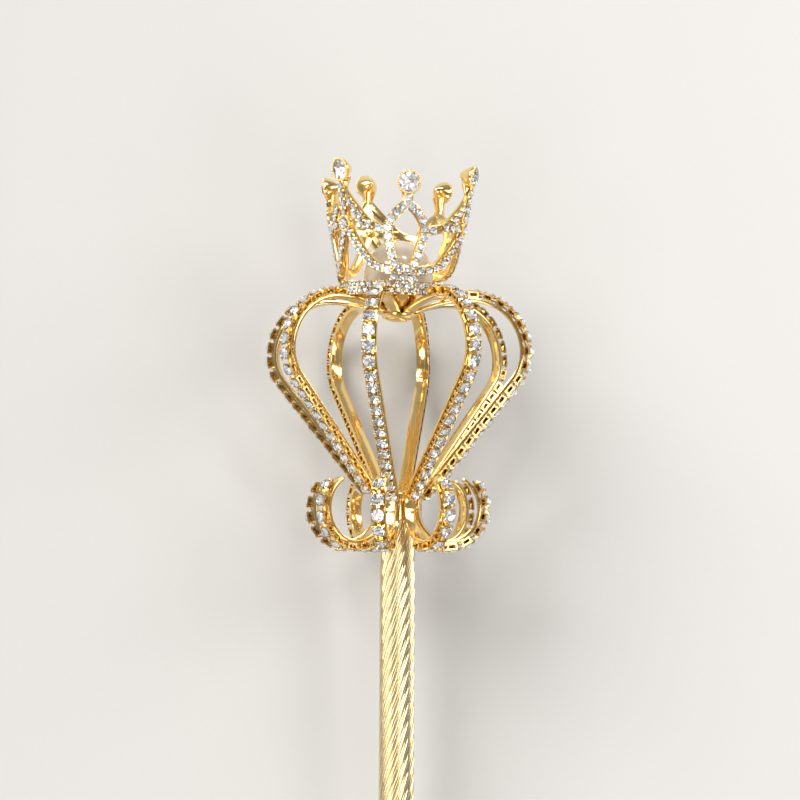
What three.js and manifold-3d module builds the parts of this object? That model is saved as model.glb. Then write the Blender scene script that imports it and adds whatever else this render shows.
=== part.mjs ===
// A costume sceptre in gilded metal, lying on its side as it rests when nobody holds it.
//
// Eight flat strips leave a hub under the crown, swell into an open lantern and come together at a
// socket on top of a spirally reeded tube. Eight scrolls curl out below them. A cup chain of round
// stones runs along the outer side of every strip and scroll. A flared openwork crown with nine
// larger crystals stands on the lantern, around a pearl in a metal cup. A plain ball ends the tube.
//
// Everything is drawn upright about the sceptre's own axis, Z, with Z = 0 at the waist where strips
// and scrolls meet the socket. An azimuth of 0 faces the front, -Y, and grows towards +X. The whole
// is then turned to lie with its crown towards +Y. Sizes are in millimetres, angles in degrees.

import * as THREE from 'three';
import { mergeVertices } from 'three/addons/utils/BufferGeometryUtils.js';
import Module from 'manifold-3d';

const wasm = await Module();
wasm.setup();

// Overall
const overallLength = 460;
const jointGap = 0.3; // between pieces that are soldered or pushed together

// Lantern strips
const stripAzimuths = [-13, 33, 77, 125, 167.4, 210.6, 257.4, 303.5]; // soldered in by eye
const lowestStrips = [5, 6]; // the two, counted from 1, that the sceptre lies on
const stripWidth = 4.4;
const stripThickness = 1.2;
const crestRadius = 24.5; // distance from the axis to the top of a strip's arch
const stripFootHeight = 1.6; // of a strip's lower end, over the waist
const dipBend = 45; // radius of the strip's fall from its crest to the hub
const dipAngle = 23.7;
const shoulderBend = 18.5;
const bellyBend = 13.4; // radius under the widest place
const taperAngle = 39; // of the straight run, from the axis
const waistBend = 8;
const bendStep = 18; // the most that a strip turns between two of its sections

// Scrolls
const scrollCentreHeight = 1;
const scrollHalfDepth = 10.7; // across the axis, to the middle of the strip
const scrollHalfHeight = 11.2;
const scrollFirstAngle = -180; // where the scroll meets the socket
const scrollLastAngle = 62; // its free end

// Cup chain
const cupPitch = 4.45;
const cupWidth = 4.6;
const cupHeight = 3;
const linkWidth = 3.6; // of the notch between two cups
const linkHeight = 2.2;
const scrollChainFirstAngle = -118;
const stripChainTail = 3; // bare strip left between the last cup and the strip's end

// Shaft and socket
const shaftDiameter = 12;
const shaftTop = -2.5;
const boreDiameter = 9.8;
const reedCount = 16;
const reedDepth = 0.45;
const reedLead = 90; // length of one full turn of the twist
const shaftRings = 32;
const socketDiameter = 12.4;
const socketTop = 5.5;
const socketDome = 2;
const spigotDiameter = 9;
const spigotLength = 12;

// Hub, pearl and its cup
const hubClearance = 0.6; // between the hub and the strips' ends
const hubSink = 0.7; // of the hub's top under the strips' ends
const hubHeight = 2.6;
const pearlDiameter = 24;
const pearlCupWall = 0.8;
const pearlCupAngle = 62; // from the cup's foot to its rim, seen from the pearl's centre

// Crown
const crownShift = -1.2; // its centre stands a little to the left of the axis
const crownLean = 1.5; // to the right
const crownNod = 3; // to the front
const ringRadius = 16.2; // to the middle of the metal
const ringHeight = 4.5;
const crownThickness = 1.6;
const armWidth = 3.3;
const armOverlap = 1; // of a tip's stem over the arms that carry it
const thinArmThickness = 1.3; // of the arms between the loops
const crownFlare = 9; // how much wider the crown is at the tips than at the ring
const crownRise = 40; // height over which it flares
const flarePower = 0.85;
const loopTips = [7.6, -104, 141.3]; // azimuths of the three tips that stand on loops
const gableTips = [75.8, -50, -154.5]; // azimuths of the three taller tips between them
const loopSpread = 16.5;
const gableElbow = 28; // height of the bend in a gable's sides
const gableFork = 23; // height at which the bar to the middle stone leaves a gable's side
const loopFoot = 4;
const loopWidest = 21;
const loopNeck = 30;
const loopTipHeights = [37, 37, 38.6]; // bent by hand, so not quite even
const gableNeck = 34;
const gableTipHeights = [41.3, 41.3, 40.3];
const middleStoneHeight = 23.6;
const rosetteHeight = 6;
const rosetteRadius = 4.2;
const rosetteThickness = 2;

// Settings and crystals of the crown
const tipSettingRadius = 3.9;
const tipSettingDepth = 4.2;
const middleSettingRadius = 2.7;
const middleSettingDepth = 2.4;
const settingWall = 0.5;
const seatDepth = 1.2;
const crystalRise = 1; // of its flat top over the setting
const tableShare = 0.6; // of a crystal's flat top in its width

// Pommel
const collarRadius = 7.8;
const collarHeight = 5;
const neckRadius = 5.4;
const ballRadius = 10;
const endFlatRadius = 4;
const collarBevel = 1;
const neckLength = 1.5; // between the ball and the collar

const materials = {
  gilt: new THREE.MeshStandardMaterial({ color: 0xe8bd5a, metalness: 1, roughness: 0.18 }),
  paleGilt: new THREE.MeshStandardMaterial({ color: 0xe8d49a, metalness: 1, roughness: 0.25 }),
  stones: new THREE.MeshStandardMaterial({ color: 0xefe3c8, metalness: 0.7, roughness: 0.15 }),
  crystal: new THREE.MeshStandardMaterial({ color: 0xf2f5f7, metalness: 0, roughness: 0.05 }),
  pearl: new THREE.MeshStandardMaterial({ color: 0xf0e8dc, metalness: 0, roughness: 0.2 }),
};

const radians = THREE.MathUtils.degToRad;
const up = new THREE.Vector3(0, 0, 1);
const outwards = (azimuth) =>
  new THREE.Vector3(Math.sin(radians(azimuth)), -Math.cos(radians(azimuth)), 0);
const sideways = (azimuth) =>
  new THREE.Vector3(Math.cos(radians(azimuth)), Math.sin(radians(azimuth)), 0);

// A closed geometry as a solid whose faces point out.
function solid(geometry) {
  const bare = new THREE.BufferGeometry().setAttribute('position', geometry.getAttribute('position'));
  bare.setIndex(geometry.getIndex());
  const merged = mergeVertices(bare, 1e-3);
  const vertProperties = new Float32Array(merged.getAttribute('position').array);
  const triVerts = new Uint32Array(merged.getIndex().array);
  const made = new wasm.Manifold(new wasm.Mesh({ numProp: 3, vertProperties, triVerts }));
  if (made.volume() > 0) return made;
  for (let i = 0; i < triVerts.length; i += 3) {
    [triVerts[i + 1], triVerts[i + 2]] = [triVerts[i + 2], triVerts[i + 1]];
  }
  return new wasm.Manifold(new wasm.Mesh({ numProp: 3, vertProperties, triVerts }));
}

function geometryOf(made) {
  const { vertProperties, triVerts } = made.getMesh();
  return new THREE.BufferGeometry()
    .setAttribute('position', new THREE.BufferAttribute(vertProperties, 3))
    .setIndex(new THREE.BufferAttribute(triVerts, 1));
}

// A closed skin over rings of points, all with the same number of points and none crossing.
function loft(rings) {
  const count = rings[0].length;
  const positions = rings.flat().flatMap((point) => point.toArray());
  const index = [];
  for (let ring = 0; ring + 1 < rings.length; ring++) {
    for (let i = 0; i < count; i++) {
      const a = ring * count + i;
      const b = ring * count + ((i + 1) % count);
      index.push(a, b, b + count, a, b + count, a + count);
    }
  }
  const last = (rings.length - 1) * count;
  for (let i = 1; i + 1 < count; i++) {
    index.push(0, i + 1, i, last, last + i, last + i + 1);
  }
  return new THREE.BufferGeometry()
    .setAttribute('position', new THREE.Float32BufferAttribute(positions, 3))
    .setIndex(index);
}

// A body of revolution about Z from points (radius, height) that start and end on the axis.
function turned(profile, sides) {
  return new THREE.LatheGeometry(profile, sides).rotateX(Math.PI / 2);
}

const profilePoint = (radius, height) => new THREE.Vector2(radius, height);
const socketContact = socketDiameter / 2 + jointGap + stripThickness / 2;

// Where a strip's bends begin and end, from its foot up.
const taper = radians(taperAngle);
const waistRadius = socketContact + waistBend;
const runFootRadius = waistRadius - waistBend * Math.cos(taper);
const runFootHeight = stripFootHeight + waistBend * Math.sin(taper);
const bellyRadius = crestRadius + shoulderBend - bellyBend;
const runHeadRadius = bellyRadius + bellyBend * Math.cos(taper);
const runHeadHeight = runFootHeight + (runHeadRadius - runFootRadius) / Math.tan(taper);
const bellyHeight = runHeadHeight + bellyBend * Math.sin(taper);
const crestHeight = bellyHeight + shoulderBend;
const stripHeadHeight = crestHeight - dipBend * (1 - Math.cos(radians(dipAngle)));
const stripHeadRadius = crestRadius - dipBend * Math.sin(radians(dipAngle));
const hubTop = stripHeadHeight - hubSink;
const pearlHeight = hubTop + jointGap + pearlCupWall + jointGap + pearlDiameter / 2;

// The azimuth that faces straight up when the sceptre lies on its two lowest strips.
const headTurn = stripAzimuths[lowestStrips[0] - 1] / 2 + stripAzimuths[lowestStrips[1] - 1] / 2 - 180;

// Points of an arc in the plane of (radius, height).
function arcPoints(centre, radius, from, to, steps) {
  return Array.from({ length: steps + 1 }, (_, i) => {
    const angle = radians(from + ((to - from) * i) / steps);
    return profilePoint(centre.x + radius * Math.cos(angle), centre.y + radius * Math.sin(angle));
  });
}

// The middle line of a lantern strip, from the hub over the crest and down to the waist.
function stripPath() {
  const path = new THREE.Path();
  path.absarc(crestRadius, crestHeight - dipBend, dipBend, radians(90 + dipAngle), radians(90), true);
  path.absarc(crestRadius, bellyHeight, shoulderBend, radians(90), 0, true);
  path.absarc(bellyRadius, bellyHeight, bellyBend, 0, -taper, true);
  path.absarc(waistRadius, stripFootHeight, waistBend, Math.PI - taper, Math.PI, false);
  return path;
}

// The middle line of a scroll, from the socket round its foot to its free end.
function scrollPath(firstAngle) {
  const path = new THREE.Path();
  path.absellipse(
    socketContact + scrollHalfDepth,
    scrollCentreHeight,
    scrollHalfDepth,
    scrollHalfHeight,
    radians(firstAngle),
    radians(scrollLastAngle),
    false,
    0,
  );
  return path;
}

// A rectangle across a path at a share of its length. side is +1 or -1 for the side of the path that
// the stones are on, near and far are the distances from the path to the rectangle's two long edges.
function acrossPath(path, share, azimuth, side, near, far, width) {
  const middle = path.getPointAt(share);
  const tangent = path.getTangentAt(share);
  const normal = new THREE.Vector2(-tangent.y, tangent.x).multiplyScalar(side);
  const corner = (distance, across) =>
    outwards(azimuth)
      .multiplyScalar(middle.x + normal.x * distance)
      .addScaledVector(up, middle.y + normal.y * distance)
      .addScaledVector(sideways(azimuth), across);
  return [
    corner(near, -width / 2),
    corner(near, width / 2),
    corner(far, width / 2),
    corner(far, -width / 2),
  ];
}

// Shares of a path's length at which a flat strip needs a section: its ends and its bends.
function bendShares(path) {
  const total = path.getLength();
  const shares = [0];
  let start = 0;
  for (const curve of path.curves) {
    const turn = curve.isEllipseCurve ? Math.abs(curve.aEndAngle - curve.aStartAngle) : 0;
    const steps = Math.max(1, Math.ceil(turn / radians(bendStep) - 0.01));
    const length = curve.getLength();
    for (let step = 1; step <= steps && length > jointGap; step++) {
      shares.push(Math.min((start + (length * step) / steps) / total, 1));
    }
    start += length;
  }
  return shares;
}

function bentStrip(path, azimuth) {
  const half = stripThickness / 2;
  return loft(
    bendShares(path).map((share) =>
      acrossPath(path, share, azimuth, 1, -half, half, stripWidth),
    ),
  );
}

// A row of set stones on a path, drawn as one body that is wide at each cup and narrow at each link.
function cupChain(path, from, to, azimuth, side) {
  const total = path.getLength();
  const cups = Math.floor((to - from) / cupPitch);
  const near = stripThickness / 2 + jointGap;
  const rings = [];
  for (let i = 0; i <= cups; i++) {
    const link = (from + cupPitch * i) / total;
    rings.push(acrossPath(path, link, azimuth, side, near, near + linkHeight, linkWidth));
    if (i === cups) break;
    const cup = (from + cupPitch * (i + 0.5)) / total;
    rings.push(acrossPath(path, cup, azimuth, side, near, near + cupHeight, cupWidth));
  }
  return loft(rings);
}

// How far along a strip its chain starts: just outside the crown's ring, which stands off centre.
function chainStart(path, azimuth) {
  const ringEdge = ringRadius + crownThickness / 2 + linkWidth / 2 + jointGap;
  const clearRadius = ringEdge + crownShift * outwards(azimuth).x + crownThickness;
  const total = path.getLength();
  let length = 0;
  while (path.getPointAt(length / total).x < clearRadius) length += cupPitch / 10;
  return length;
}

function reededShaft(bottom) {
  const rings = [];
  const length = shaftTop - bottom;
  for (let ring = 0; ring <= shaftRings; ring++) {
    const height = bottom + (length * ring) / shaftRings;
    const twist = (360 * height) / reedLead;
    rings.push(
      Array.from({ length: reedCount * 2 }, (_, i) => {
        const radius = shaftDiameter / 2 - (i % 2 ? reedDepth : 0);
        return outwards(twist + (180 * i) / reedCount)
          .multiplyScalar(radius)
          .addScaledVector(up, height);
      }),
    );
  }
  const bore = new THREE.CylinderGeometry(boreDiameter / 2, boreDiameter / 2, length * 1.1, 16);
  bore.rotateX(Math.PI / 2).translate(0, 0, bottom + length / 2);
  return geometryOf(solid(loft(rings)).subtract(solid(bore)));
}

function socket() {
  const foot = shaftTop + jointGap;
  return turned(
    [
      profilePoint(0, foot - spigotLength),
      profilePoint(spigotDiameter / 2, foot - spigotLength),
      profilePoint(spigotDiameter / 2, foot),
      profilePoint(socketDiameter / 2, foot),
      profilePoint(socketDiameter / 2, socketTop),
      profilePoint(socketDiameter / 3, socketTop + socketDome * 0.8),
      profilePoint(0, socketTop + socketDome),
    ],
    16,
  );
}

function hub() {
  const radius = stripHeadRadius - hubClearance;
  return turned(
    [
      profilePoint(0, hubTop - hubHeight),
      profilePoint(radius * 0.7, hubTop - hubHeight),
      profilePoint(radius, hubTop - hubHeight * 0.7),
      profilePoint(radius, hubTop),
      profilePoint(0, hubTop),
    ],
    12,
  );
}

function pearlCup() {
  const centre = profilePoint(0, pearlHeight);
  const inner = pearlDiameter / 2 + jointGap;
  const rimAngle = pearlCupAngle - 90;
  return turned(
    [
      ...arcPoints(centre, inner + pearlCupWall, -90, rimAngle, 4),
      ...arcPoints(centre, inner, rimAngle, -90, 4),
    ],
    14,
  );
}

function pearl() {
  return new THREE.SphereGeometry(pearlDiameter / 2, 16, 10)
    .rotateX(Math.PI / 2)
    .translate(0, 0, pearlHeight);
}

function pommel(shaftBottom) {
  const top = shaftBottom - jointGap;
  const collarFoot = top - collarHeight;
  const ballCentre = pommelEnd() + Math.sqrt(ballRadius ** 2 - endFlatRadius ** 2);
  const neckAngle = THREE.MathUtils.radToDeg(Math.acos(neckRadius / ballRadius));
  const endAngle = THREE.MathUtils.radToDeg(-Math.acos(endFlatRadius / ballRadius));
  return turned(
    [
      profilePoint(0, pommelEnd()),
      ...arcPoints(profilePoint(0, ballCentre), ballRadius, endAngle, neckAngle, 7),
      profilePoint(neckRadius, collarFoot),
      profilePoint(collarRadius, collarFoot + collarBevel),
      profilePoint(collarRadius, top),
      profilePoint(spigotDiameter / 2, top),
      profilePoint(spigotDiameter / 2, top + spigotLength),
      profilePoint(0, top + spigotLength),
    ],
    16,
  );
}

// The crown is drawn about its own axis, from its foot, and then set on the lantern.
function crownRadius(height) {
  return ringRadius + crownFlare * (Math.max(height, 0) / crownRise) ** flarePower;
}

function onCrown(azimuth, height) {
  return outwards(azimuth).multiplyScalar(crownRadius(height)).addScaledVector(up, height);
}

function crownNormal(azimuth, height) {
  const step = crownRise / 100;
  const slope = (crownRadius(height + step) - crownRadius(height - step)) / (2 * step);
  return outwards(azimuth).addScaledVector(up, -slope).normalize();
}

// A flat bar lying in the crown's surface through points (azimuth, height).
function crownBar(places, thickness) {
  const points = places.map(([azimuth, height]) => onCrown(azimuth, height));
  const rings = points.map((point, i) => {
    const before = points[Math.max(i - 1, 0)];
    const after = points[Math.min(i + 1, points.length - 1)];
    const normal = crownNormal(...places[i]).multiplyScalar(thickness / 2);
    const across = after.clone().sub(before).cross(normal).setLength(armWidth / 2);
    return [
      point.clone().sub(across).sub(normal),
      point.clone().add(across).sub(normal),
      point.clone().add(across).add(normal),
      point.clone().sub(across).add(normal),
    ];
  });
  return solid(loft(rings));
}

// Places along a smooth curve through a few places (azimuth, height).
function smoothPlaces(places, steps) {
  const curve = new THREE.SplineCurve(places.map((place) => new THREE.Vector2(...place)));
  return curve.getPoints(steps).map((place) => place.toArray());
}

// Puts something that faces +Z at its own origin onto the crown, facing out.
function setOnCrown(geometry, azimuth, height) {
  const turn = new THREE.Quaternion().setFromUnitVectors(up, crownNormal(azimuth, height));
  const place = onCrown(azimuth, height);
  return geometry.applyQuaternion(turn).translate(place.x, place.y, place.z);
}

// The settings of the crown's larger crystals: one on each tip and one between the loops.
const tipSetting = { radius: tipSettingRadius, depth: tipSettingDepth, sides: 8 };
const middleSetting = { radius: middleSettingRadius, depth: middleSettingDepth, sides: 6 };
const crownSettings = [
  ...loopTips.map((azimuth, i) => ({ ...tipSetting, azimuth, height: loopTipHeights[i] })),
  ...gableTips.map((azimuth, i) => ({ ...tipSetting, azimuth, height: gableTipHeights[i] })),
  ...gableTips.map((azimuth) => ({ ...middleSetting, azimuth, height: middleStoneHeight })),
];
const settingFace = crownThickness / 2;

// A domed back under a flat front.
function settingBody({ radius, depth, sides }) {
  const dome = arcPoints(profilePoint(0, 0), 1, -90, 0, 2).map((point) =>
    profilePoint(point.x * radius, point.y * depth),
  );
  return turned([...dome, profilePoint(radius, settingFace), profilePoint(0, settingFace)], sides);
}

// The recess in a setting's front that its crystal sits in.
function settingSeat({ radius, sides }) {
  const inner = radius - settingWall;
  const floor = settingFace - seatDepth;
  const above = settingFace + seatDepth;
  return turned(
    [profilePoint(0, floor), profilePoint(inner, floor), profilePoint(inner, above), profilePoint(0, above)],
    sides,
  );
}

function crystal({ radius, sides }) {
  const girdle = radius - settingWall - jointGap;
  const table = girdle * tableShare;
  const foot = settingFace - seatDepth + jointGap;
  return turned(
    [
      profilePoint(0, foot),
      profilePoint(table, foot),
      profilePoint(girdle, settingFace),
      profilePoint(table, settingFace + crystalRise),
      profilePoint(0, settingFace + crystalRise),
    ],
    sides,
  );
}

// The azimuths of the two gable tips on either side of a loop tip, nearest first on each side.
function neighbours(azimuth, others) {
  const gap = (other) => THREE.MathUtils.euclideanModulo(other - azimuth + 180, 360) - 180;
  const gaps = others.map(gap);
  const right = Math.min(...gaps.filter((value) => value > 0));
  const left = Math.max(...gaps.filter((value) => value < 0));
  return [
    { side: -1, azimuth: azimuth + left },
    { side: 1, azimuth: azimuth + right },
  ];
}

function loopArm(azimuth, side) {
  const spread = side * loopSpread;
  return smoothPlaces(
    [
      [azimuth, loopFoot],
      [azimuth + spread * 0.62, loopFoot + (loopWidest - loopFoot) * 0.4],
      [azimuth + spread, loopWidest],
      [azimuth + spread * 0.62, loopWidest + (loopNeck - loopWidest) * 0.6],
      [azimuth, loopNeck],
    ],
    5,
  );
}

// The side of a gable, from the edge of a loop up to the gable's neck.
function gableArm(edge, gable) {
  const span = gable - edge;
  return smoothPlaces(
    [
      [edge, loopWidest],
      [edge + span * 0.4, gableFork],
      [edge + span * 0.7, gableElbow],
      [gable, gableNeck],
    ],
    4,
  );
}

// The arm that falls from a middle stone and runs in to the foot of the loop beside it.
function fallingArm(from, to) {
  const span = to - from;
  return smoothPlaces(
    [
      [from, middleStoneHeight],
      [from + span * 0.2, middleStoneHeight * 0.68],
      [from + span * 0.5, middleStoneHeight * 0.4],
      [to, loopFoot + armWidth],
    ],
    4,
  );
}

function crownRing() {
  const half = crownThickness / 2;
  const profile = [
    profilePoint(ringRadius - half, 0),
    profilePoint(ringRadius + half, 0),
    profilePoint(ringRadius + half, ringHeight),
    profilePoint(ringRadius - half, ringHeight),
    profilePoint(ringRadius - half, 0),
  ];
  return solid(turned(profile, 18));
}

function crown() {
  const parts = [crownRing()];
  loopTips.forEach((azimuth, i) => {
    const disc = new THREE.CylinderGeometry(rosetteRadius, rosetteRadius, rosetteThickness, 6);
    parts.push(solid(setOnCrown(disc.rotateX(Math.PI / 2), azimuth, rosetteHeight)));
    const stem = [[azimuth, loopNeck - armOverlap], [azimuth, loopTipHeights[i] - armOverlap]];
    parts.push(crownBar(stem, thinArmThickness));
    for (const { side, azimuth: gable } of neighbours(azimuth, gableTips)) {
      const edge = azimuth + side * loopSpread;
      const arm = gableArm(edge, gable);
      parts.push(crownBar(loopArm(azimuth, side), crownThickness));
      parts.push(crownBar(arm, thinArmThickness));
      parts.push(crownBar([arm[1], [gable, middleStoneHeight]], thinArmThickness));
      parts.push(crownBar(fallingArm(gable, azimuth), thinArmThickness));
    }
  });
  gableTips.forEach((azimuth, i) => {
    const stem = [[azimuth, middleStoneHeight], [azimuth, gableTipHeights[i] - armOverlap]];
    parts.push(crownBar(stem, crownThickness));
  });
  const seats = [];
  for (const setting of crownSettings) {
    parts.push(solid(setOnCrown(settingBody(setting), setting.azimuth, setting.height)));
    seats.push(solid(setOnCrown(settingSeat(setting), setting.azimuth, setting.height)));
  }
  return geometryOf(wasm.Manifold.union(parts).subtract(wasm.Manifold.union(seats)));
}

// The height of the crown's foot: its ring clears the strips, which fall towards the hub.
function crownHeight() {
  const ringEdge = ringRadius + crownThickness / 2;
  const fall = dipBend - Math.sqrt(dipBend ** 2 - (crestRadius - ringEdge - Math.abs(crownShift)) ** 2);
  const lift = ringEdge * Math.sin(radians(Math.hypot(crownLean, crownNod)));
  return crestHeight - fall + stripThickness / 2 + jointGap + lift;
}

function pommelEnd() {
  return crownHeight() + Math.max(...gableTipHeights) + tipSettingRadius - overallLength;
}

function addPiece(parent, name, geometry, material) {
  const mesh = new THREE.Mesh(geometryOf(solid(geometry)), material);
  mesh.name = name;
  parent.add(mesh);
  return mesh;
}

function buildHead() {
  const head = new THREE.Group();
  const strip = stripPath();
  const scroll = scrollPath(scrollFirstAngle);
  const scrollChain = scrollPath(scrollChainFirstAngle);
  stripAzimuths.forEach((azimuth, i) => {
    const start = chainStart(strip, azimuth);
    const end = strip.getLength() - stripChainTail;
    addPiece(head, `strip_${i + 1}`, bentStrip(strip, azimuth), materials.gilt);
    addPiece(head, `strip_chain_${i + 1}`, cupChain(strip, start, end, azimuth, 1), materials.stones);
    addPiece(head, `scroll_${i + 1}`, bentStrip(scroll, azimuth), materials.gilt);
    const scrollLength = scrollChain.getLength();
    const stones = cupChain(scrollChain, 0, scrollLength, azimuth, -1);
    addPiece(head, `scroll_chain_${i + 1}`, stones, materials.stones);
  });
  addPiece(head, 'hub', hub(), materials.gilt);
  addPiece(head, 'pearl_cup', pearlCup(), materials.gilt);
  addPiece(head, 'pearl', pearl(), materials.pearl);
  addPiece(head, 'socket', socket(), materials.gilt);
  return head;
}

function buildCrown() {
  const group = new THREE.Group();
  addPiece(group, 'crown', crown(), materials.gilt);
  crownSettings.forEach((setting, i) => {
    const stone = setOnCrown(crystal(setting), setting.azimuth, setting.height);
    addPiece(group, `crown_crystal_${i + 1}`, stone, materials.crystal);
  });
  group.position.set(crownShift, 0, crownHeight());
  group.rotation.set(radians(crownNod), radians(crownLean), 0);
  return group;
}

// Every corner of a group as (height along the axis, depth below the axis) when headTurn faces up.
function cornersSeenFromTheSide(group) {
  const down = outwards(headTurn).negate();
  const corner = new THREE.Vector3();
  const corners = [];
  group.updateMatrixWorld(true);
  group.traverse((mesh) => {
    if (!mesh.isMesh) return;
    const positions = mesh.geometry.getAttribute('position');
    for (let i = 0; i < positions.count; i++) {
      corner.fromBufferAttribute(positions, i).applyMatrix4(mesh.matrixWorld);
      corners.push([corner.z, corner.dot(down)]);
    }
  });
  return corners;
}

// The angle of the axis above the floor at which head and pommel both touch it.
function restingTilt(head, foot) {
  const reach = (corners, tilt) =>
    Math.max(...corners.map(([height, depth]) => depth * Math.cos(tilt) - height * Math.sin(tilt)));
  const headCorners = cornersSeenFromTheSide(head);
  const footCorners = cornersSeenFromTheSide(foot);
  let low = 0;
  let high = Math.PI / 4;
  for (let step = 0; step < 40; step++) {
    const tilt = (low + high) / 2;
    if (reach(headCorners, tilt) > reach(footCorners, tilt)) low = tilt;
    else high = tilt;
  }
  return low;
}

const ballHeight = Math.sqrt(ballRadius ** 2 - endFlatRadius ** 2)
  + Math.sqrt(ballRadius ** 2 - neckRadius ** 2);
const shaftBottom = pommelEnd() + ballHeight + neckLength + collarHeight + jointGap;
const head = buildHead();
const foot = new THREE.Group();
addPiece(foot, 'pommel', pommel(shaftBottom), materials.gilt);
const upright = new THREE.Group();
upright.add(head, foot, buildCrown());
addPiece(upright, 'shaft', reededShaft(shaftBottom), materials.paleGilt);

const tilt = restingTilt(head, foot);
upright.rotation.z = -radians(headTurn);
const lying = new THREE.Group();
lying.add(upright);
lying.rotation.x = tilt - Math.PI / 2;

const sceptre = new THREE.Group();
sceptre.name = 'sceptre';
sceptre.add(lying);
sceptre.updateMatrixWorld(true);
const box = new THREE.Box3().setFromObject(sceptre, true);
lying.position.set(-(box.min.x + box.max.x) / 2, -(box.min.y + box.max.y) / 2, -box.min.z);

export default sceptre;
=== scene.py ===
"""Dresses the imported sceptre: gilded strips, set stones, crown, pearl and reeded shaft.

Every piece is modelled upright, as it would stand on the bench, with Z along the sceptre's axis and
Z = 0 at the waist. An azimuth of 0 degrees faces the front, -Y, and grows towards +X. Each finished
piece is then laid down into the frame, where the crown points along +Y and the front faces up.
"""

import math

import bpy
from bpy.props import FloatProperty, FloatVectorProperty, IntProperty, PointerProperty
from mathutils import Matrix, Vector


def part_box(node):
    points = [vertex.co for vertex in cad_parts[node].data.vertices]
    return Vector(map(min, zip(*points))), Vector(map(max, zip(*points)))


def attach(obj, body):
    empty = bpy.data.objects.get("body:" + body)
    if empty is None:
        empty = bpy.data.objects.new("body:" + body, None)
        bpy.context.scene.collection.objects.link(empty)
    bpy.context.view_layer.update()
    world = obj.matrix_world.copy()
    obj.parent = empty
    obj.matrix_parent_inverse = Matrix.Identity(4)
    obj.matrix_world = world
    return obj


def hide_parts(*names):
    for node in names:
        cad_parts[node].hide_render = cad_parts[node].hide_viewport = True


bl_info = {
    "name": "Gilded sceptre",
    "version": (1, 0, 0),
    "blender": (4, 5, 0),
    "location": "3D View > Sidebar > Sceptre",
    "description": "Models the surfaces of a gilded, stone-set sceptre around its frame",
    "category": "Object",
}

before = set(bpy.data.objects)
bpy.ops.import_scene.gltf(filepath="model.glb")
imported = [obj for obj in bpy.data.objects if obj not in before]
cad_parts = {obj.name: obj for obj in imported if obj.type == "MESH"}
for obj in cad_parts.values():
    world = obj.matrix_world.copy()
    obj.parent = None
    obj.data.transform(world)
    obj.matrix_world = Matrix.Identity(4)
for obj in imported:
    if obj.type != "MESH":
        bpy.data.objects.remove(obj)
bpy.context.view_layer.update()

MM = 0.001
FRONT_IMAGE_SIZE = 800  # pixels each way in the photograph's frame

STRIP_AZIMUTHS = (-13, 33, 77, 125, 167.4, 210.6, 257.4, 303.5)
LOOP_TIPS = (7.6, -104, 141.3)
GABLE_TIPS = (75.8, -50, -154.5)
LOOP_TIP_HEIGHTS = (37 * MM, 37 * MM, 38.6 * MM)
GABLE_TIP_HEIGHTS = (41.3 * MM, 41.3 * MM, 40.3 * MM)


def linear(hex_colour):
    """An sRGB hex colour as the linear numbers that Blender works with."""
    channels = [int(hex_colour[i : i + 2], 16) / 255 for i in (1, 3, 5)]
    return [c / 12.92 if c <= 0.04045 else ((c + 0.055) / 1.055) ** 2.4 for c in channels]


def millimetres(label, value, about):
    settings = {"default": value * MM, "unit": "LENGTH", "subtype": "DISTANCE", "precision": 5}
    return FloatProperty(name=label, description=about, **settings)


def degrees(label, value, about):
    settings = {"default": math.radians(value), "unit": "ROTATION", "subtype": "ANGLE"}
    return FloatProperty(name=label, description=about, **settings)


def colour(label, hex_colour, about):
    settings = {"default": linear(hex_colour), "subtype": "COLOR", "size": 3, "min": 0, "max": 1}
    return FloatVectorProperty(name=label, description=about, **settings)


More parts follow.
